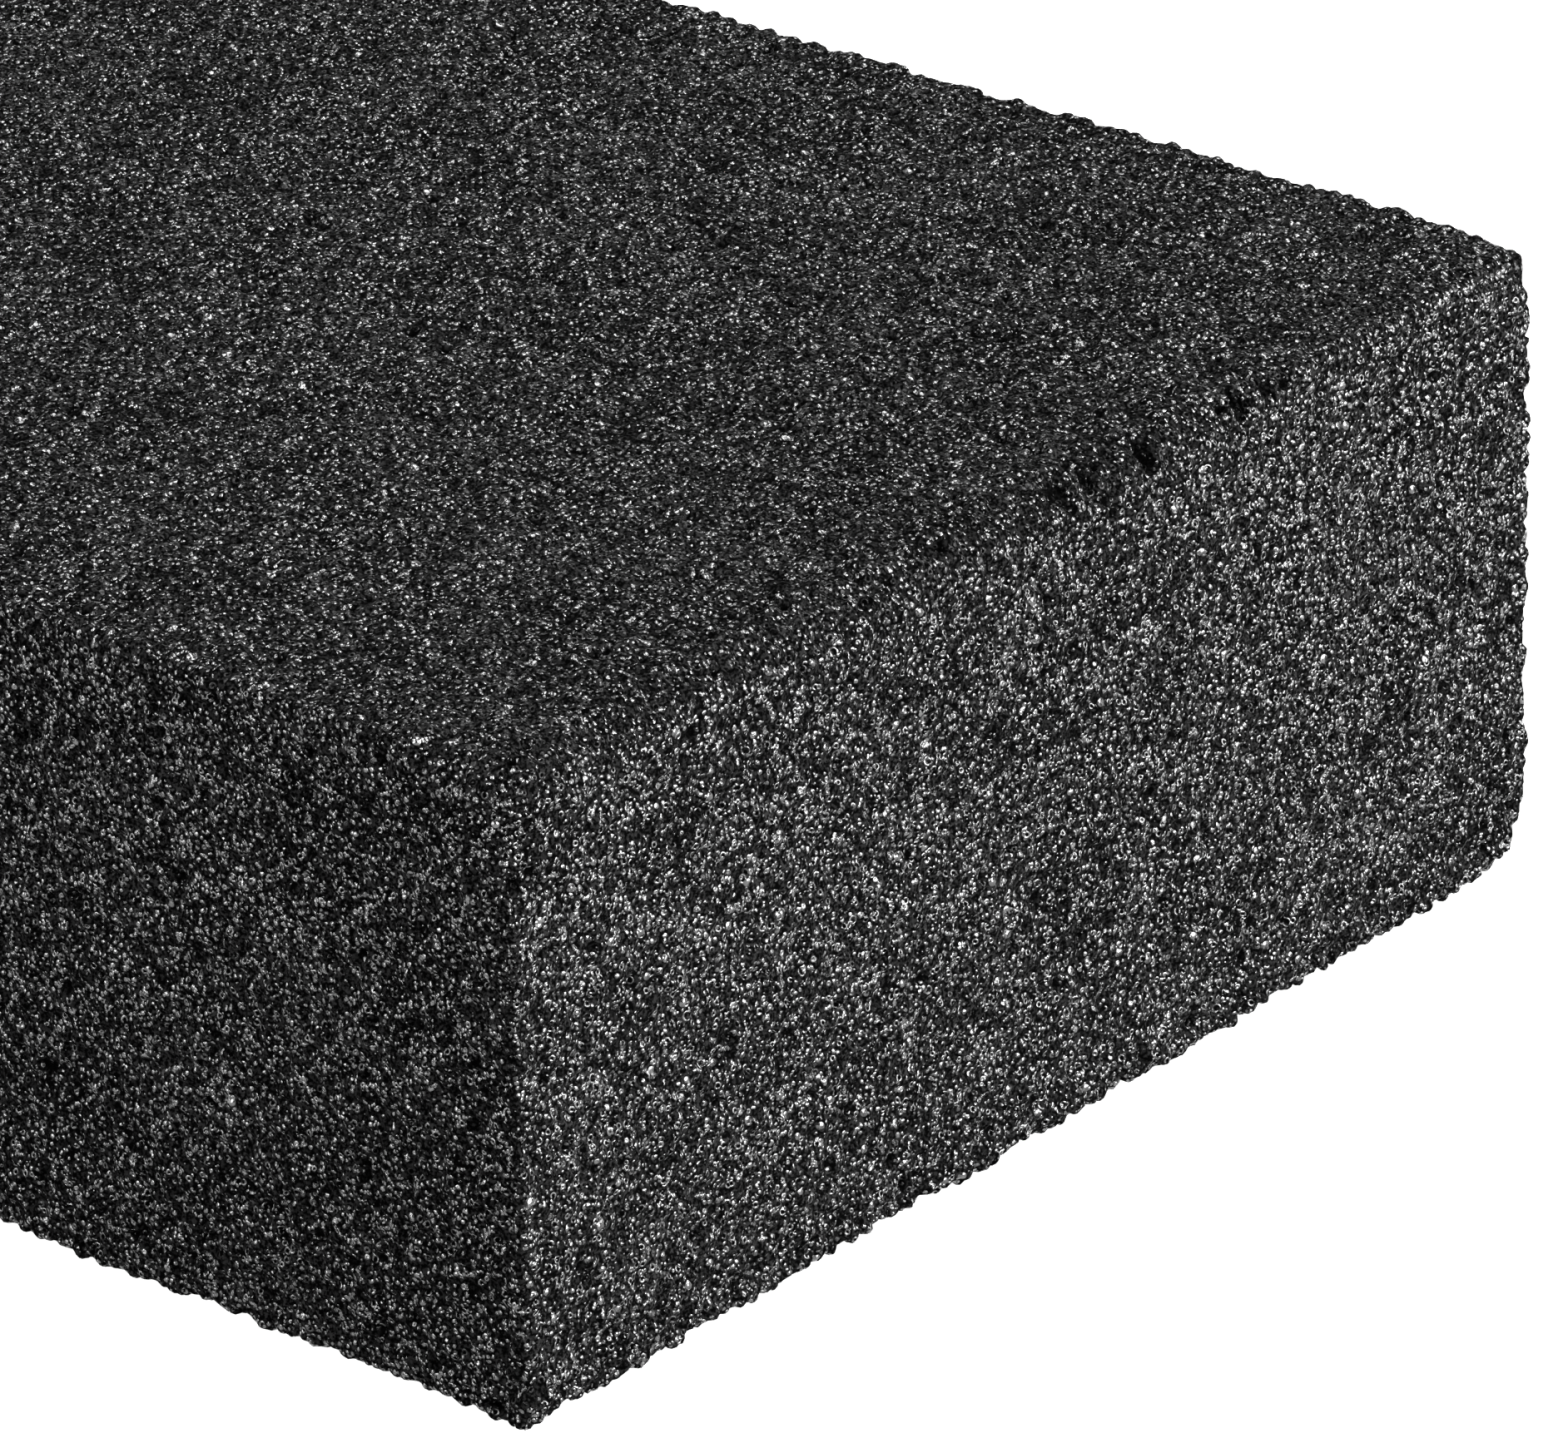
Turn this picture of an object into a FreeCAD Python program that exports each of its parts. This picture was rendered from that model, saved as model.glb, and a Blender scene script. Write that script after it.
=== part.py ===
import FreeCAD, Part

import os

# Foam block chalkboard eraser, in millimetres.
# +X runs along the length, +Y across the width and +Z up. The origin is the
# middle of the footprint, on the surface that the eraser lies on.
#
# A soft open-cell foam block is the whole outside of the eraser: its top face
# does the wiping. A thin hardboard back is let into the underside and bonded
# there with an adhesive film, so that the block stays flat under the hand.

# Foam block
LENGTH = 127.0
WIDTH = 58.0
HEIGHT = 25.0
CUT_EDGE_ROUND = 0.4      # bottom and upright edges, nearly as sharp as cut
WORN_EDGE_ROUND = 1.5     # the top edge of the +X end, where wiping wears it

# Backing board, let into the underside
BOARD_MARGIN = 6.0        # foam left around the board on every side
BOARD_THICKNESS = 3.0
BOARD_CORNER_RADIUS = 5.0
BOARD_EDGE_CHAMFER = 0.4
BOARD_SUNK = 0.3          # the board sits this far above the resting surface
RECESS_CLEARANCE = 0.25   # gap between the board's edge and the foam

# Adhesive film, between the board and the roof of the recess
FILM_THICKNESS = 0.3
FILM_MARGIN = 1.0         # the film stops this far inside the board's edge

BOARD_LENGTH = LENGTH - 2 * BOARD_MARGIN
BOARD_WIDTH = WIDTH - 2 * BOARD_MARGIN
BOARD_TOP = BOARD_SUNK + BOARD_THICKNESS
RECESS_DEPTH = BOARD_TOP + FILM_THICKNESS

TOLERANCE = 1e-6


def centred_box(length, width, height, bottom):
    """A box centred on the Z axis, standing on the plane z = bottom."""
    corner = FreeCAD.Vector(-length / 2, -width / 2, bottom)
    return Part.makeBox(length, width, height, corner)


def is_upright(edge):
    """Whether an edge climbs along Z."""
    low, high = edge.BoundBox.ZMin, edge.BoundBox.ZMax
    return high - low > TOLERANCE


def is_corner_edge(edge):
    """Whether an edge runs straight up one of the block's four corners."""
    box = edge.BoundBox
    level_extent = max(box.XMax - box.XMin, box.YMax - box.YMin)
    return is_upright(edge) and level_extent < TOLERANCE


def edges_at_height(shape, height):
    """The level edges that lie at one height."""
    return [
        edge
        for edge in shape.Edges
        if not is_upright(edge) and abs(edge.BoundBox.ZMin - height) < TOLERANCE
    ]


def round_cornered_plate(length, width, thickness, bottom, corner_radius):
    """A level plate with its four upright edges rounded."""
    plate = centred_box(length, width, thickness, bottom)
    upright = [edge for edge in plate.Edges if is_upright(edge)]
    return plate.makeFillet(corner_radius, upright)


def make_foam_block():
    """The block, with eased edges and the recess for the board."""
    block = centred_box(LENGTH, WIDTH, HEIGHT, 0)
    worn_edge = [
        edge
        for edge in edges_at_height(block, HEIGHT)
        if edge.BoundBox.XMin > LENGTH / 2 - TOLERANCE
    ]
    block = block.makeFillet(WORN_EDGE_ROUND, worn_edge)
    upright_edges = [edge for edge in block.Edges if is_corner_edge(edge)]
    cut_edges = upright_edges + edges_at_height(block, 0)
    block = block.makeFillet(CUT_EDGE_ROUND, cut_edges)
    recess = round_cornered_plate(
        BOARD_LENGTH + 2 * RECESS_CLEARANCE,
        BOARD_WIDTH + 2 * RECESS_CLEARANCE,
        RECESS_DEPTH,
        0,
        BOARD_CORNER_RADIUS + RECESS_CLEARANCE,
    )
    return block.cut(recess)


def make_backing_board():
    """The hardboard back, with round corners and its outer edge eased."""
    board = round_cornered_plate(
        BOARD_LENGTH, BOARD_WIDTH, BOARD_THICKNESS, BOARD_SUNK, BOARD_CORNER_RADIUS
    )
    return board.makeChamfer(BOARD_EDGE_CHAMFER, edges_at_height(board, BOARD_SUNK))


def make_adhesive_film():
    """The film that fills the space between the board and the recess's roof."""
    return round_cornered_plate(
        BOARD_LENGTH - 2 * FILM_MARGIN,
        BOARD_WIDTH - 2 * FILM_MARGIN,
        FILM_THICKNESS,
        BOARD_TOP,
        BOARD_CORNER_RADIUS - FILM_MARGIN,
    )


def main():
    os.makedirs("parts", exist_ok=True)
    pieces = {
        "foam_block": make_foam_block(),
        "backing_board": make_backing_board(),
        "adhesive_film": make_adhesive_film(),
    }
    for name, shape in pieces.items():
        shape.exportStep(f"parts/{name}.step")
        print(name, len(shape.Solids), "solid", round(shape.Volume, 1), "mm3")


main()
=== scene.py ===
# A chalkboard eraser: a black open-cell foam block with a hardboard back let
# into its underside. Lengths are in metres, in the frame's own axes.

import math

import bpy
import numpy as np
from mathutils import Matrix, Vector


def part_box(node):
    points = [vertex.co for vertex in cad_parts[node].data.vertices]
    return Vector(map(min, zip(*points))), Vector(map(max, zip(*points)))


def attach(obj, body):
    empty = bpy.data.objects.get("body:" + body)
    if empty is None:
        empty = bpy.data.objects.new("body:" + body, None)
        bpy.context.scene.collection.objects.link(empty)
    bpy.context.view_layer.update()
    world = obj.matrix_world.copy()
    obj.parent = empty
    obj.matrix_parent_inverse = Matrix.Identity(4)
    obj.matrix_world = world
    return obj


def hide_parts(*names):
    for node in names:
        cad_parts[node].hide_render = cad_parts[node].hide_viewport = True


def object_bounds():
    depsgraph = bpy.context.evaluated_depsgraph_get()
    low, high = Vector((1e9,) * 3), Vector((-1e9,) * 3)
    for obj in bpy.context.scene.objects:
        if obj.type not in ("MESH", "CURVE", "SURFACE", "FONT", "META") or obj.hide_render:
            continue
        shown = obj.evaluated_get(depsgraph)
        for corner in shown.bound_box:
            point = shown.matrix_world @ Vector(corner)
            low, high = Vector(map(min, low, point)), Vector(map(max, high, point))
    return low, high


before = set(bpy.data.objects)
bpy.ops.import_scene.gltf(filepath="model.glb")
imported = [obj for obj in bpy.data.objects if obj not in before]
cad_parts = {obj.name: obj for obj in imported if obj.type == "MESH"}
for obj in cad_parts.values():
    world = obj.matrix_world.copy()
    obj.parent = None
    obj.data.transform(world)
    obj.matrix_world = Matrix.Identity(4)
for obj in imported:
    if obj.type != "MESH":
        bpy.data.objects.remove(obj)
cad_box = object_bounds()

MM = 0.001

# Lattice of the foam's skin
LATTICE_STEP = 0.14 * MM         # spacing of its points
FINE_STEP = 0.12 * MM            # their spacing along the length at the +X end
COARSE_STEP = 0.20 * MM          # and at the -X end
LATTICE_SHAKE = 0.35 * LATTICE_STEP  # how far each point is moved at random

# Edges of the block
CUT_EDGE_RADIUS = 0.2 * MM       # left nearly sharp by the cutting wire
BOTTOM_EDGE_RADIUS = 0.35 * MM   # the edges that the eraser slides on
BOTTOM_EDGE_FADE = (1 * MM, 3 * MM)  # heights between which that radius fades
WORN_EDGE_RADIUS = 1.9 * MM      # top edge of the +X end, where it is worn most
WORN_EDGE_FADE = (2.5 * MM, 6 * MM)  # distances from it where the wear fades
WEAR_FADE = (0.6, 0.85)          # shares of the width, from -Y, where it fades
WEAR_UNEVENNESS = 0.25
WEAR_PATCH = 2.5 * MM            # size of the patches worn more or less
LEAST_WEAR = 0.05
CHIPPED_CORNERS = (              # of the +X, +Y edge: share of the height, radius
    (0, 1.3 * MM),
    (1, 0.7 * MM),
)
CHIP_FADE = (0.8 * MM, 3.0 * MM)  # distances from a corner where its chip fades

# Relief of the cut foam. A reach is a distance from a centre, in sizes.
LUMP_SIZE = 1.0 * MM
LUMP_REACH = 0.75                # where a lump has fallen to its full depth
LUMP_DEPTH = 0.16 * MM
CELL_SIZE = 0.5 * MM
CELL_REACH = 0.65
CELL_DEPTH = 0.16 * MM
PORE_SIZE = 0.8 * MM             # the space that each torn pore may take
PORE_SHARE = 0.3                 # share of the spaces that hold one
PORE_WALL = (0.15, 0.38)         # reaches where its wall starts and ends
PORE_DEPTH = 0.30 * MM
DRIFT_SIZE = 3.0 * MM            # slow wander of the cut
DRIFT_DEPTH = 0.06 * MM
PROUD = 0.25 * MM                # the highest foam stands about this far out
CRUMBLED_GAIN = 0.5              # extra relief at the bottom edge of the +X end
CRUMBLED_FADE = (0.5 * MM, 2.5 * MM)  # distances from that edge

# Nicks, where crumbs are torn out of the worn edge
NICKS = (                        # share of the width, half the length
    (0.53, 0.9 * MM),
    (0.555, 0.5 * MM),
    (0.61, 0.5 * MM),
    (0.70, 0.4 * MM),
    (0.725, 0.3 * MM),
)
NICK_DEPTH = 0.6 * MM
NICK_REACH = 1.4 * MM            # how far a nick spreads from the edge
NICK_WALL = (0.5, 1.0)           # shares of that where its wall starts and ends
NICK_RAGGEDNESS = 0.35 * MM
NICK_TOOTH = 0.6 * MM            # size of the teeth of its ragged outline

# Recess for the board
RECESS_CLEARANCE = 0.25 * MM     # foam stands this far off the board's edge
BOARD_CORNER_RADIUS = 5.0 * MM

# What the foam's material reads from its skin, including the depth that sets its painted
# shade
NICK_PAINTED_SHADE = 1 / 3               # share of a nick's depth that counts in the skin's painted shade
WIPED_FACING = (0.05, 0.7)       # upward parts of the normal where wiping sets in

# Seeds of the random draws
SHAKE_SEED = 10
LUMP_SEED = 11
CELL_SEED = 12
DRIFT_SEED = 13
PORE_SEED = 14
TOOTH_SEED = 15
WEAR_SEED = 16

# Camera, aimed at a point on the +X end face
CAMERA_AZIMUTH = math.radians(40.37)
CAMERA_ELEVATION = math.radians(25.04)
CAMERA_ROLL = math.radians(-1.25)
CAMERA_LENS_MM = 252.3
CAMERA_SENSOR_MM = 36
CAMERA_DISTANCE_IN_HEIGHTS = 15.24
CAMERA_CLIP_START = 10 * MM
AIM_ACROSS = 0.2498              # share of the width, from the -Y side
AIM_UP = 0.868                   # share of the height

# Studio
FLOOR_HALF_WIDTH = 20.0
FLOOR_GREY = 0.25                # what it reflects; it also glows white
SURROUND_LIGHT = 0.21            # glow of the studio's walls on the block
LAMPS = {                        # azimuth, elevation, metres off, width, watts
    "end": (112, 10, 0.6, 0.65, 47.5),
    "back": (205, 48, 0.6, 0.35, 6.5),
    "left": (290, 40, 0.6, 0.35, 6.5),
    "front": (340, 15, 0.6, 0.45, 10.5),
    "top": (110, 70, 0.7, 0.3, 5.0),
}


# ---------------------------------------------------------------- mesh tools

def steps(low, high, step):
    """Evenly spaced values from low to high, about step apart."""
    return np.linspace(low, high, round((high - low) / step) + 1)


def graded_steps(low, high, low_step, high_step):
    """Values from low to high whose spacing changes evenly from end to end."""
    length = high - low
    count = round(2 * length / (low_step + high_step))
    t = np.linspace(0, 1, count + 1)
    start = low_step * count
    return low + start * t + (length - start) * t ** 2


def box_skin(xs, ys, zs):
    """The points and outward four-sided faces of a box's skin on a lattice."""
    axes = (xs, ys, zs)
    counts = [len(a) for a in axes]
    faces = []
    for axis in range(3):
        u, v = (axis + 1) % 3, (axis + 2) % 3
        for end in (0, counts[axis] - 1):
            index = [None, None, None]
            index[u] = np.arange(counts[u])[:, None]
            index[v] = np.arange(counts[v])[None, :]
            index[axis] = end
            key = (index[0] * counts[1] + index[1]) * counts[2] + index[2]
            corners = [key[:-1, :-1], key[1:, :-1], key[1:, 1:], key[:-1, 1:]]
            if end == 0:
                corners.reverse()
            faces.append(np.stack(corners, -1).reshape(-1, 4))
    keys, quads = np.unique(np.concatenate(faces), return_inverse=True)
    i, rest = np.divmod(keys, counts[1] * counts[2])
    j, k = np.divmod(rest, counts[2])
    return np.stack([xs[i], ys[j], zs[k]], 1), quads.reshape(-1, 4)


def shaken(points, reach, seed):
    """The points, each moved at random by up to reach along each axis."""
    moves = np.random.default_rng(seed).uniform(-reach, reach, points.shape)
    return points + moves


def smooth_between(low, high, value):
    """0 below low, 1 above high, and a smooth curve between."""
    t = np.clip((value - low) / (high - low), 0, 1)
    return t * t * (3 - 2 * t)


def value_noise(points, size, seed):
    """Smooth noise from -1 to 1 whose lumps are about size across."""
    low = points.min(0) - size
    at = (points - low) / size
    cell = np.floor(at).astype(int)
    table = np.random.default_rng(seed).uniform(-1, 1, cell.max(0) + 2)
    t = at - cell
    t = t * t * (3 - 2 * t)
    total = np.zeros(len(points))
    for dx in (0, 1):
        for dy in (0, 1):
            for dz in (0, 1):
                corner = table[cell[:, 0] + dx, cell[:, 1] + dy, cell[:, 2] + dz]
                weight = (
                    np.where(dx, t[:, 0], 1 - t[:, 0])
                    * np.where(dy, t[:, 1], 1 - t[:, 1])
                    * np.where(dz, t[:, 2], 1 - t[:, 2])
                )
                total += corner * weight
    return total


def cell_noise(points, size, seed):
    """Distance to the nearest cell centre, in cell sizes, and its luck, 0 to 1."""
    low = points.min(0) - 2 * size
    at = ((points - low) / size).astype(np.float32)
    cell = np.floor(at).astype(int)
    shape = cell.max(0) + 2
    random = np.random.default_rng(seed)
    jitter = random.random((*shape, 3), dtype=np.float32)
    chance = random.random(shape, dtype=np.float32)
    nearest = np.full(len(points), np.inf, np.float32)
    luck = np.zeros(len(points), np.float32)
    for dx in (-1, 0, 1):
        for dy in (-1, 0, 1):
            for dz in (-1, 0, 1):
                i, j, k = (cell + (dx, dy, dz)).T
                centre = np.stack([i, j, k], 1) + jitter[i, j, k]
                distance = ((centre - at) ** 2).sum(1)
                closer = distance < nearest
                nearest[closer] = distance[closer]
                luck[closer] = chance[i, j, k][closer]
    return np.sqrt(nearest), luck


def mesh_object(name, points, faces):
    """A smooth-shaded mesh object of four-sided faces."""
    mesh = bpy.data.meshes.new(name)
    mesh.vertices.add(len(points))
    mesh.vertices.foreach_set("co", points.astype(np.float32).ravel())
    mesh.loops.add(faces.size)
    mesh.loops.foreach_set("vertex_index", faces.astype(np.int32).ravel())
    mesh.polygons.add(len(faces))
    mesh.polygons.foreach_set("loop_start", np.arange(0, faces.size, 4, dtype=np.int32))
    mesh.update(calc_edges=True)
    mesh.shade_smooth()
    thing = bpy.data.objects.new(name, mesh)
    bpy.context.scene.collection.objects.link(thing)
    return thing


def give_attribute(thing, name, values):
    """Stores a number at each point of a mesh, for its material to read."""
    attribute = thing.data.attributes.new(name, "FLOAT", "POINT")
    attribute.data.foreach_set("value", values.astype(np.float32))


# ---------------------------------------------------------------- foam block

def edge_wear(points, low, high):
    """How worn the block's skin is: 1 at its most, 0 away from the worn edge."""
    near, far = WORN_EDGE_FADE
    near_top = smooth_between(high.z - far, high.z - near, points[:, 2])
    near_end = smooth_between(high.x - far, high.x - near, points[:, 0])
    across = (points[:, 1] - low.y) / (high.y - low.y)
    uneven = WEAR_UNEVENNESS * value_noise(points, WEAR_PATCH, WEAR_SEED)
    wear = 1 - smooth_between(*WEAR_FADE, across) + uneven
    return near_top * near_end * wear.clip(LEAST_WEAR, 1)


def edge_radius(points, low, high):
    """The rounding wanted near each point of the block's skin."""
    bottom = 1 - smooth_between(*BOTTOM_EDGE_FADE, points[:, 2] - low.z)
    radius = CUT_EDGE_RADIUS + (BOTTOM_EDGE_RADIUS - CUT_EDGE_RADIUS) * bottom
    radius += (WORN_EDGE_RADIUS - CUT_EDGE_RADIUS) * edge_wear(points, low, high)
    for up, chipped_radius in CHIPPED_CORNERS:
        corner = (high.x, high.y, low.z + up * (high.z - low.z))
        from_corner = np.linalg.norm(points - corner, axis=1)
        chipped = 1 - smooth_between(*CHIP_FADE, from_corner)
        radius += (chipped_radius - CUT_EDGE_RADIUS) * chipped
    return radius


def rounded(points, low, high, radius):
    """Moves a box's skin onto the box with rounded edges; also its normals."""
    r = radius[:, None]
    core = np.clip(points, np.array(low) + r, np.array(high) - r)
    normals = points - core
    normals /= np.linalg.norm(normals, axis=1)[:, None]
    return core + normals * r, normals


def foam_relief(points):
    """How far the cut foam stands in from its nominal skin."""
    lump, _ = cell_noise(points, LUMP_SIZE, LUMP_SEED)
    cell, _ = cell_noise(points, CELL_SIZE, CELL_SEED)
    pore, luck = cell_noise(points, PORE_SIZE, PORE_SEED)
    lumps = LUMP_DEPTH * np.clip(lump / LUMP_REACH, 0, 1) ** 2
    cells = CELL_DEPTH * np.clip(cell / CELL_REACH, 0, 1) ** 2
    pores = PORE_DEPTH * (luck < PORE_SHARE) * (1 - smooth_between(*PORE_WALL, pore))
    drift = DRIFT_DEPTH * value_noise(points, DRIFT_SIZE, DRIFT_SEED)
    return lumps + cells + pores + drift - PROUD


def crumbled(points, low, high):
    """How much rougher the cut is near the bottom edge of the +X end."""
    from_edge = np.hypot(points[:, 0] - high.x, points[:, 2] - low.z)
    return 1 + CRUMBLED_GAIN * (1 - smooth_between(*CRUMBLED_FADE, from_edge))


def nick_depth(points, low, high):
    """How much deeper the skin stands where the worn edge has lost crumbs."""
    from_edge = np.hypot(points[:, 0] - high.x, points[:, 2] - high.z)
    from_edge += NICK_RAGGEDNESS * value_noise(points, NICK_TOOTH, TOOTH_SEED)
    depth = np.zeros(len(points))
    for share, half_length in NICKS:
        along = points[:, 1] - (low.y + share * (high.y - low.y))
        away = np.hypot(along / half_length, from_edge / NICK_REACH)
        depth = np.maximum(depth, 1 - smooth_between(*NICK_WALL, away))
    return NICK_DEPTH * depth


def inside_round_plate(points, low, high, radius):
    """Which points lie, seen from above, inside a plate with round corners."""
    half = (np.array(high)[:2] - np.array(low)[:2]) / 2
    centre = (np.array(high)[:2] + np.array(low)[:2]) / 2
    past = np.maximum(np.abs(points[:, :2] - centre) - (half - radius), 0)
    return np.hypot(past[:, 0], past[:, 1]) < radius


def press_in_recess(skin, under, bottom):
    """Lifts the underside to the recess's roof, inside the recess's outline."""
    board_low, board_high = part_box("backing_board")
    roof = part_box("adhesive_film")[1].z
    gap = Vector((RECESS_CLEARANCE, RECESS_CLEARANCE, 0))
    corner = BOARD_CORNER_RADIUS + RECESS_CLEARANCE
    inside = under & inside_round_plate(skin, board_low - gap, board_high + gap, corner)
    skin[inside, 2] += roof - bottom


def make_foam_block():
    """The foam's whole skin, with the recess for the board underneath."""
    low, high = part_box("foam_block")
    points, faces = box_skin(
        graded_steps(low.x, high.x, COARSE_STEP, FINE_STEP),
        steps(low.y, high.y, LATTICE_STEP),
        steps(low.z, high.z, LATTICE_STEP),
    )
    loose = shaken(points, LATTICE_SHAKE, SHAKE_SEED)
    skin, normals = rounded(loose, low, high, edge_radius(loose, low, high))
    relief = foam_relief(skin) * crumbled(skin, low, high)
    nicks = nick_depth(skin, low, high)
    skin -= normals * (relief + nicks)[:, None]
    under = points[:, 2] < low.z + LATTICE_STEP / 4
    press_in_recess(skin, under, low.z)
    block = mesh_object("foam_block_cells", skin, faces)
    # depth of pores and nicks, which the foam's material turns into painted shade
    give_attribute(block, "painted_shade_depth", (relief + nicks * NICK_PAINTED_SHADE) / MM)
    give_attribute(block, "wiped", smooth_between(*WIPED_FACING, normals[:, 2]))
    block.data.materials.append(foam_material())
    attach(block, "root")
    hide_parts("foam_block")


# ------------------------------------------------------------- material tools

class Nodes:
    """A material's node tree, with short calls for what the materials use."""

    def __init__(self, name):
        self.material = bpy.data.materials.new(name)
        self.material.use_nodes = True
        self.tree = self.material.node_tree
        self.surface = self.tree.nodes["Principled BSDF"]
        coordinates = self.tree.nodes.new("ShaderNodeTexCoord")
        self.place = coordinates.outputs["Object"]

    def put(self, socket, value):
        """Gives a socket a number, a colour or another node's output."""
        if isinstance(value, bpy.types.NodeSocket):
            self.tree.links.new(value, socket)
        else:
            socket.default_value = value

    def give(self, name, value):
        """Gives an input of the surface shader a value."""
        self.put(self.surface.inputs[name], value)

    def maths(self, operation, *values):
        """The result of one calculation."""
        node = self.tree.nodes.new("ShaderNodeMath")
        node.operation = operation
        for socket, value in zip(node.inputs, values):
            self.put(socket, value)
        return node.outputs[0]

    def product(self, first, *others):
        """All the values multiplied together."""
        for other in others:
            first = self.maths("MULTIPLY", first, other)
        return first

    def most(self, first, *others):
        """The largest of the values."""
        for other in others:
            first = self.maths("MAXIMUM", first, other)
        return first

    def ramp(self, value, from_low, from_high, to_low=0.0, to_high=1.0):
        """A smooth step between two values."""
        node = self.tree.nodes.new("ShaderNodeMapRange")
        node.interpolation_type = "SMOOTHSTEP"
        self.put(node.inputs["Value"], value)
        node.inputs["From Min"].default_value = from_low
        node.inputs["From Max"].default_value = from_high
        node.inputs["To Min"].default_value = to_low
        node.inputs["To Max"].default_value = to_high
        return node.outputs["Result"]

    def fall(self, value, near, far):
        """1 where a value is under near, falling smoothly to 0 at far."""
        return self.ramp(value, near, far, 1.0, 0.0)

    def warped(self, size, reach):
        """The place, pushed about by lumps of noise, so that cells aren't round."""
        noise = self.tree.nodes.new("ShaderNodeTexNoise")
        self.put(noise.inputs["Vector"], self.place)
        noise.inputs["Scale"].default_value = 1 / size
        noise.inputs["Detail"].default_value = 1.0
        push = self.tree.nodes.new("ShaderNodeVectorMath")
        push.operation = "MULTIPLY_ADD"
        self.put(push.inputs[0], noise.outputs["Color"])
        push.inputs[1].default_value = (2 * reach, 2 * reach, 2 * reach)
        self.put(push.inputs[2], self.place)
        return push.outputs["Vector"]

    def cells(self, size, place=None):
        """A Voronoi node whose cells are about size across."""
        node = self.tree.nodes.new("ShaderNodeTexVoronoi")
        self.put(node.inputs["Vector"], place or self.place)
        node.inputs["Scale"].default_value = 1 / size
        return node

    def random(self, cells):
        """Three random numbers, from 0 to 1, for each cell of a Voronoi node."""
        split = self.tree.nodes.new("ShaderNodeSeparateColor")
        self.put(split.inputs[0], cells.outputs["Color"])
        return split.outputs

    def attribute(self, name):
        """A number that the mesh holds at each of its points."""
        node = self.tree.nodes.new("ShaderNodeAttribute")
        node.attribute_name = name
        return node.outputs["Fac"]

    def noise(self, size, detail=2.0, roughness=0.5, distortion=0.0):
        """Cloudy noise from 0 to 1 whose lumps are about size across."""
        node = self.tree.nodes.new("ShaderNodeTexNoise")
        self.put(node.inputs["Vector"], self.place)
        node.inputs["Scale"].default_value = 1 / size
        node.inputs["Detail"].default_value = detail
        node.inputs["Roughness"].default_value = roughness
        node.inputs["Distortion"].default_value = distortion
        return node.outputs["Fac"]

    def mix(self, share, low, high):
        """A colour between two colours."""
        node = self.tree.nodes.new("ShaderNodeMix")
        node.data_type = "RGBA"
        self.put(node.inputs["Factor"], share)
        self.put(node.inputs["A"], low)
        self.put(node.inputs["B"], high)
        return node.outputs["Result"]

    def bump(self, *heights):
        """Raises the surface by the sum of some heights, in millimetres."""
        height = heights[0]
        for other in heights[1:]:
            height = self.maths("ADD", height, other)
        node = self.tree.nodes.new("ShaderNodeBump")
        node.inputs["Distance"].default_value = MM
        self.put(node.inputs["Height"], height)
        self.give("Normal", node.outputs["Normal"])


def grey(value):
    """A colour without hue."""
    return (value, value, value, 1.0)


# ------------------------------------------------------------- foam material

# Sizes of the cells that it draws. A reach, a radius or a width is a share of
# its cell's size, and a pair of them is the least and the most.
WINDOW_SIZE = 0.32 * MM
WINDOW_RADIUS = (0.16, 0.38)
RIM_HALF_WIDTH = 0.18
HOLE_WALL_WIDTH = 0.14
RING_SIZE = 0.7 * MM
RING_RADIUS = (0.14, 0.24)
RING_HALF_WIDTH = 0.08
RING_LUCK = (0.3, 0.35)          # a cell with a luck under these has a ring
KNOT_SIZE = 0.2 * MM
KNOT_REACH = (0.3, 0.62)
KNOT_LUCK = (0.2, 0.35)          # a cell with a luck over these has a knot
KNOT_WARP = (0.16 * MM, 0.05 * MM)  # size of what bends the knots, and how far
BEAD_SIZE = 0.9 * MM
BEAD_REACH = (0.16, 0.28)
BEAD_LUCK = (0.5, 0.55)          # a cell with a luck under these has a bead
BREAK_SIZE = 0.16 * MM           # stretches of rim that shine or stay dull
FUZZ_SIZE = 0.13 * MM
FUZZ_PATCH_SIZE = 4 * MM

# Heights of its bumps, in millimetres
RIM_HEIGHT = 0.035
KNOT_HEIGHT = 0.046
BEAD_HEIGHT = 0.11

PAINTED_SHADE_DEPTHS = (-0.05, 0.25)    # millimetres in from the skin where the painted shade starts and is full
PAINTED_SHADE_LIGHT_LEFT = 0.1               # share of tone and gloss left under the painted shade in the deepest hollows
WIPED_RIM_GLOSS = 0.12           # share of their gloss that wiped rims keep
DULL_ROUGHNESS = 0.5
GLOSSY_ROUGHNESS = 0.2
# near black painted into the cells' holes as shade
HOLE_PAINTED_SHADE = grey(0.0003)
# the foam's own black, set darker than bare polymer to paint in the shade inside its cells
WALL_TONES = (grey(0.0004), grey(0.0085))


def past_radius(n, cells, size, least, most):
    """How far a place lies outside its cell's circle, whose radius is random."""
    radius = n.maths("MULTIPLY_ADD", size, most - least, least)
    return n.maths("SUBTRACT", cells.outputs["Distance"], radius)


def band(n, past, half_width):
    """1 on a circle, falling to 0 at half a width on either side."""
    return n.fall(n.maths("ABSOLUTE", past), 0.0, half_width)


def foam_windows(n):
    """The rims of the fine cells, each cell's luck, and the holes in them, which get
    painted shade.
    """
    cells = n.cells(WINDOW_SIZE)
    size, luck, _ = n.random(cells)
    past = past_radius(n, cells, size, *WINDOW_RADIUS)
    painted_shade_hole = n.fall(past, -HOLE_WALL_WIDTH, 0.0)
    return band(n, past, RIM_HALF_WIDTH), luck, painted_shade_hole


def foam_rings(n):
    """Thin rings around a few larger cells."""
    cells = n.cells(RING_SIZE)
    size, luck, _ = n.random(cells)
    past = past_radius(n, cells, size, *RING_RADIUS)
    return n.product(band(n, past, RING_HALF_WIDTH), n.fall(luck, *RING_LUCK))


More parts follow.
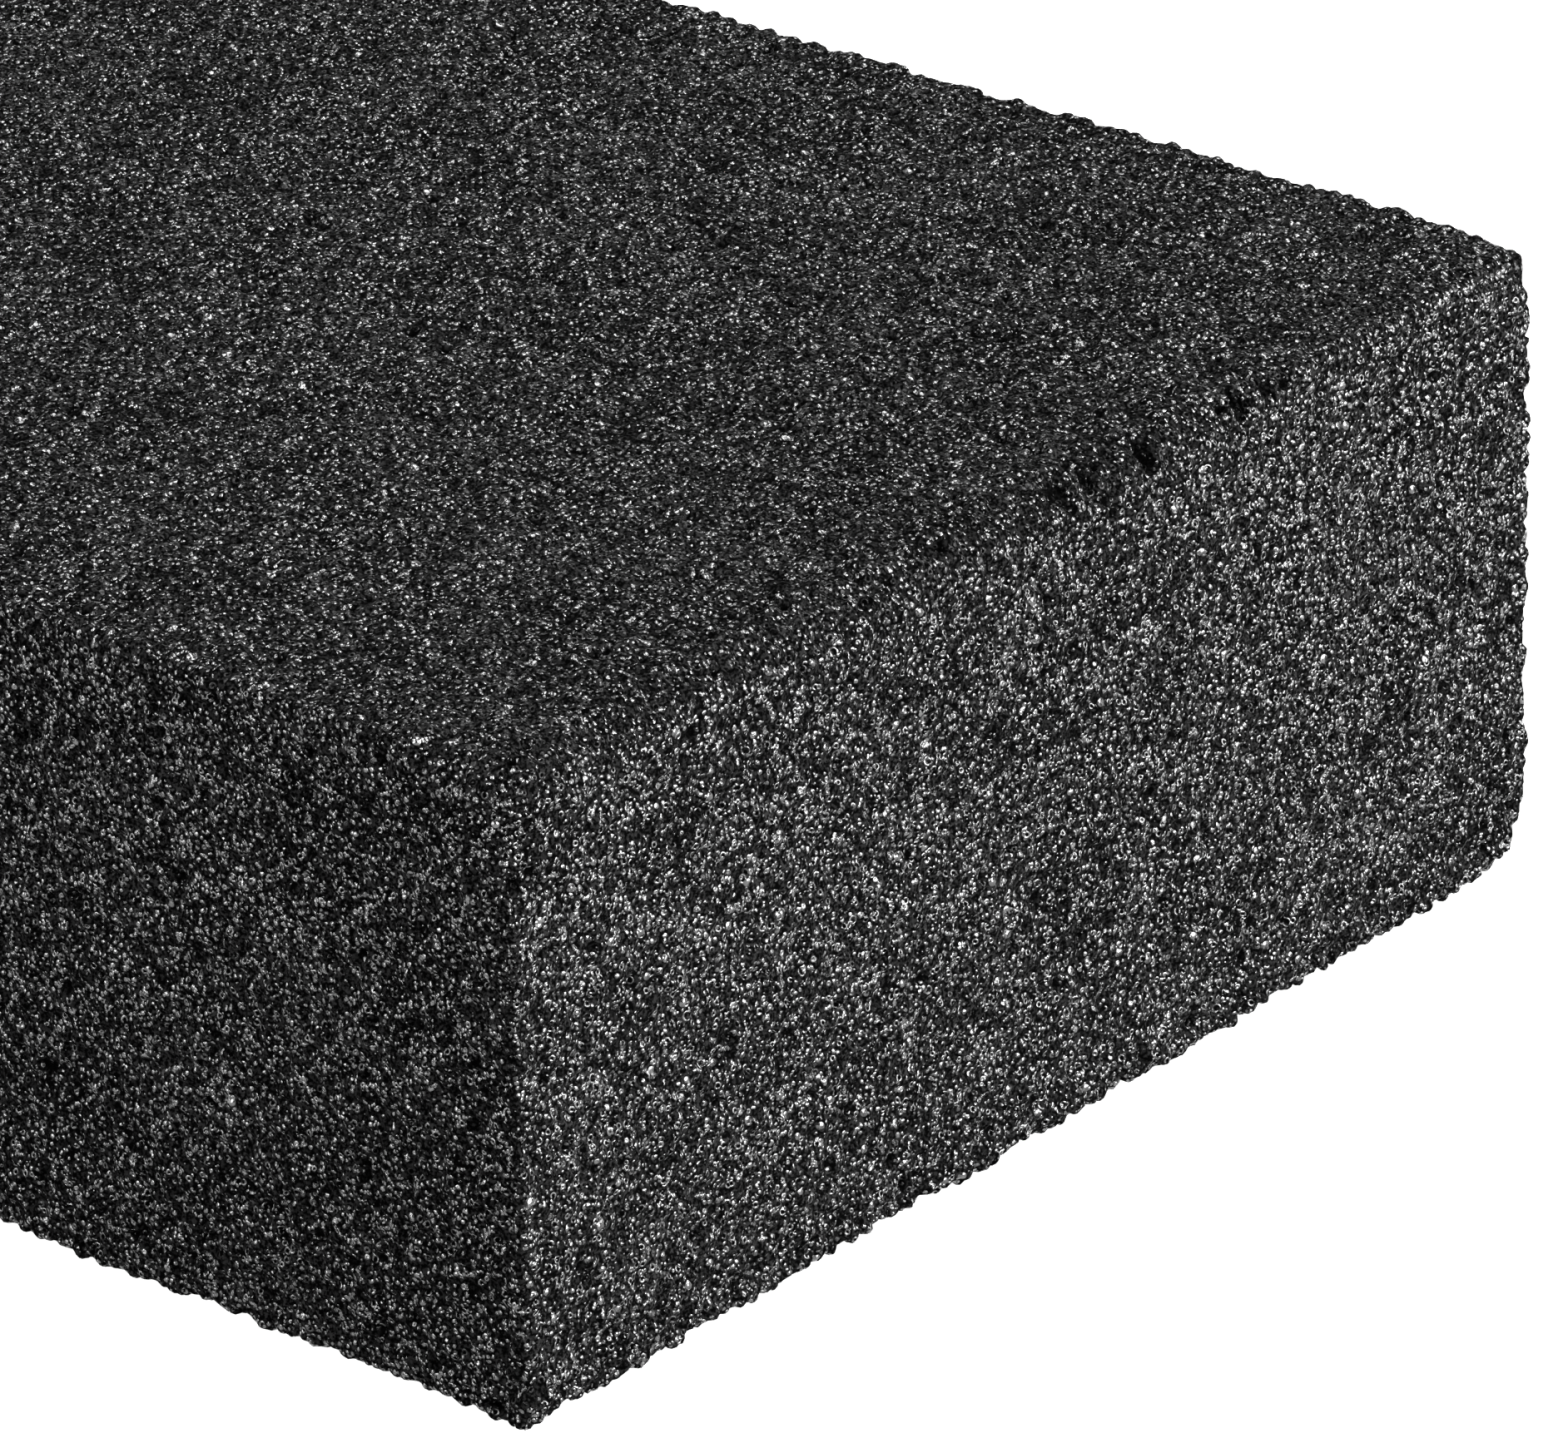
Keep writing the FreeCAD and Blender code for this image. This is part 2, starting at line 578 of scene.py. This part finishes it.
def foam_domes(n, cells, least, most):
    """A dome in each cell, of a random reach, and each cell's luck."""
    size, luck, _ = n.random(cells)
    reach = n.ramp(size, 0.0, 1.0, least, most)
    away = n.maths("DIVIDE", cells.outputs["Distance"], reach)
    return n.fall(away, 0.0, 1.0), luck


def foam_knots(n):
    """Knots where struts meet, in most of the smallest cells."""
    cells = n.cells(KNOT_SIZE, n.warped(*KNOT_WARP))
    knot, luck = foam_domes(n, cells, *KNOT_REACH)
    return n.product(knot, n.ramp(luck, *KNOT_LUCK))


def foam_beads(n):
    """A few larger beads, which catch more light than the rest."""
    bead, luck = foam_domes(n, n.cells(BEAD_SIZE), *BEAD_REACH)
    return n.product(bead, n.fall(luck, *BEAD_LUCK))


def foam_shine(n, rim, luck, ring, knot, bead):
    """Gloss on knots, beads and the luckier, broken stretches of rims."""
    rim_shine = n.product(
        n.ramp(rim, 0.2, 0.5),
        n.most(n.ramp(luck, 0.1, 0.5), n.ramp(ring, 0.1, 0.3)),
        n.ramp(n.noise(BREAK_SIZE), 0.4, 0.56),
        n.ramp(n.attribute("wiped"), 0.0, 1.0, 1.0, WIPED_RIM_GLOSS),
    )
    return n.most(rim_shine, n.ramp(knot, 0.1, 0.4), n.ramp(bead, 0.1, 0.3))


def foam_wall(n, painted_shade_factor):
    """The tone of the cell walls: black, with a fine patchy fuzz and painted shade in deep
    hollows.
    """
    fuzz = n.ramp(n.noise(FUZZ_SIZE, 3, 0.6), 0.44, 0.64)
    patch = n.ramp(n.noise(FUZZ_PATCH_SIZE, 3), 0.3, 0.7, 0.5, 1.0)
    return n.mix(n.product(fuzz, patch, painted_shade_factor), *WALL_TONES)


def foam_material():
    """Black foam: open cells whose rims, knots and beads are glossy, with painted shade in
    the cells' holes and in deep hollows of the skin.
    """
    n = Nodes("open_cell_foam")
    fine_rim, luck, painted_shade_hole = foam_windows(n)
    ring = foam_rings(n)
    rim = n.most(fine_rim, ring)
    knot = foam_knots(n)
    bead = foam_beads(n)
    height = n.maths("ADD", n.product(rim, RIM_HEIGHT), n.product(knot, KNOT_HEIGHT))
    n.bump(n.most(height, n.product(bead, BEAD_HEIGHT)))
    # painted shade: deep hollows and nicks lose most of their tone and gloss
    painted_shade_factor = n.ramp(n.attribute("painted_shade_depth"), *PAINTED_SHADE_DEPTHS, 1.0, PAINTED_SHADE_LIGHT_LEFT)
    shine = n.product(foam_shine(n, rim, luck, ring, knot, bead), painted_shade_factor)
    # painted shade: the holes of the cells are painted near black
    n.give("Base Color", n.mix(painted_shade_hole, foam_wall(n, painted_shade_factor), HOLE_PAINTED_SHADE))
    n.give("Roughness", n.ramp(shine, 0.0, 1.0, DULL_ROUGHNESS, GLOSSY_ROUGHNESS))
    n.give("Specular IOR Level", shine)
    return n.material


# -------------------------------------------------------- board and adhesive

FIBRE_SIZE = 0.7 * MM
GRAIN_SIZE = 0.25 * MM
CLOUD_SIZE = 9 * MM
SPECK_SIZE = 1.1 * MM            # the space that each speck may take
SPECK_REACH = (0.1, 0.24)        # shares of that where a speck fades
SPECK_LUCK = (0.3, 0.35)         # a space with a luck under these has a speck
SPECK_STRENGTH = 0.85
STREAK_SIZE = 1.6 * MM
BUBBLE_SIZE = 0.9 * MM           # the space that each bubble may take
BUBBLE_REACH = (0.2, 0.4)        # shares of that where a bubble fades
BUBBLE_STRENGTH = 0.4
FIBRE_TONES = ((0.055, 0.026, 0.012, 1.0), (0.13, 0.066, 0.031, 1.0))
CLOUD_TONE = (0.16, 0.09, 0.045, 1.0)
SPECK_TONE = (0.02, 0.011, 0.006, 1.0)
ADHESIVE_TONES = ((0.23, 0.12, 0.035, 1.0), (0.5, 0.33, 0.13, 1.0))
BUBBLE_TONE = (0.6, 0.45, 0.22, 1.0)

# Heights of their bumps, in millimetres
FIBRE_HEIGHT = 0.03
GRAIN_HEIGHT = 0.02
STREAK_HEIGHT = 0.1
BUBBLE_HEIGHT = 0.03


def board_specks(n):
    """Dark specks in some of the board's cells."""
    cells = n.cells(SPECK_SIZE)
    luck, _, _ = n.random(cells)
    speck = n.fall(cells.outputs["Distance"], *SPECK_REACH)
    return n.product(speck, n.ramp(luck, *SPECK_LUCK, SPECK_STRENGTH, 0.0))


def board_material():
    """Smooth brown hardboard: pressed fibres, paler clouds and dark specks."""
    n = Nodes("hardboard")
    fibre = n.noise(FIBRE_SIZE, 6, 0.7, 2.5)
    grain = n.noise(GRAIN_SIZE, 3, 0.6)
    cloud = n.noise(CLOUD_SIZE, 3)
    tone = n.mix(n.ramp(fibre, 0.35, 0.65), *FIBRE_TONES)
    tone = n.mix(n.ramp(cloud, 0.35, 0.65, 0.0, 0.3), tone, CLOUD_TONE)
    n.give("Base Color", n.mix(board_specks(n), tone, SPECK_TONE))
    n.give("Roughness", n.ramp(grain, 0.3, 0.7, 0.38, 0.6))
    n.give("Specular IOR Level", 0.4)
    n.bump(n.product(fibre, FIBRE_HEIGHT), n.product(grain, GRAIN_HEIGHT))
    return n.material


def film_material():
    """Dried amber contact adhesive, streaky and uneven, with pale bubbles."""
    n = Nodes("contact_adhesive")
    streak = n.noise(STREAK_SIZE, 5, 0.6, 1.5)
    bubble = n.fall(n.cells(BUBBLE_SIZE).outputs["Distance"], *BUBBLE_REACH)
    tone = n.mix(n.ramp(streak, 0.3, 0.7), *ADHESIVE_TONES)
    n.give("Base Color", n.mix(n.product(bubble, BUBBLE_STRENGTH), tone, BUBBLE_TONE))
    n.give("Roughness", n.ramp(streak, 0.3, 0.7, 0.22, 0.45))
    n.bump(n.product(streak, STREAK_HEIGHT), n.product(bubble, BUBBLE_HEIGHT))
    return n.material


def finish_cad_nodes():
    """The board and the film keep their CAD shapes and get real materials."""
    for name, material in (
        ("backing_board", board_material()),
        ("adhesive_film", film_material()),
    ):
        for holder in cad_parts[name].material_slots:
            holder.material = material


# ------------------------------------------------------------- camera, light

def towards_viewer(azimuth, elevation):
    """The way back from the object to a viewer; azimuth 0 looks along +Y."""
    return Vector((
        math.sin(azimuth) * math.cos(elevation),
        -math.cos(azimuth) * math.cos(elevation),
        math.sin(elevation),
    ))


def make_camera():
    """A long lens, looking down at the +X, -Y corner."""
    low, high = cad_box
    height = high.z - low.z
    across = low.y + AIM_ACROSS * (high.y - low.y)
    aim = Vector((high.x, across, low.z + AIM_UP * height))
    back = towards_viewer(CAMERA_AZIMUTH, CAMERA_ELEVATION)
    data = bpy.data.cameras.new("camera")
    data.lens = CAMERA_LENS_MM
    data.sensor_width = CAMERA_SENSOR_MM
    data.clip_start = CAMERA_CLIP_START
    camera = bpy.data.objects.new("camera", data)
    bpy.context.scene.collection.objects.link(camera)
    place = Matrix.Translation(aim + CAMERA_DISTANCE_IN_HEIGHTS * height * back)
    level = (-back).to_track_quat("-Z", "Y").to_matrix().to_4x4()
    camera.matrix_world = place @ level @ Matrix.Rotation(CAMERA_ROLL, 4, "Z")
    bpy.context.scene.camera = camera


def make_lamp(name, azimuth, elevation, distance, width, watts):
    """A square soft lamp aimed at the middle of the block."""
    low, high = cad_box
    back = towards_viewer(math.radians(azimuth), math.radians(elevation))
    data = bpy.data.lights.new(name, "AREA")
    data.size = width
    data.energy = watts
    lamp = bpy.data.objects.new(name, data)
    bpy.context.scene.collection.objects.link(lamp)
    lamp.location = (low + high) / 2 + back * distance
    lamp.rotation_euler = (-back).to_track_quat("-Z", "Y").to_euler()


def make_floor():
    """A plain white floor, at the height of the lowest point."""
    half = FLOOR_HALF_WIDTH
    low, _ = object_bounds()
    corners = ((-half, -half), (half, -half), (half, half), (-half, half))
    points = np.array([(x, y, low.z) for x, y in corners])
    floor = mesh_object("floor", points, np.array([[0, 1, 2, 3]]))
    n = Nodes("floor")
    n.give("Base Color", grey(FLOOR_GREY))
    n.give("Roughness", 0.9)
    n.give("Emission Color", grey(1.0))
    n.give("Emission Strength", 1.0)
    floor.data.materials.append(n.material)


def make_surroundings():
    """White walls all around, which glow only faintly on the block."""
    world = bpy.data.worlds.new("studio")
    world.use_nodes = True
    tree = world.node_tree
    rays = tree.nodes.new("ShaderNodeLightPath")
    strength = tree.nodes.new("ShaderNodeMapRange")
    strength.inputs["To Min"].default_value = SURROUND_LIGHT
    strength.inputs["To Max"].default_value = 1.0
    background = tree.nodes["Background"]
    background.inputs["Color"].default_value = grey(1.0)
    tree.links.new(rays.outputs["Is Camera Ray"], strength.inputs["Value"])
    tree.links.new(strength.outputs["Result"], background.inputs["Strength"])
    bpy.context.scene.world = world


make_foam_block()
finish_cad_nodes()
make_camera()
make_floor()
make_surroundings()
for name, settings in LAMPS.items():
    make_lamp(name, *settings)
bpy.context.scene.view_settings.view_transform = "Standard"
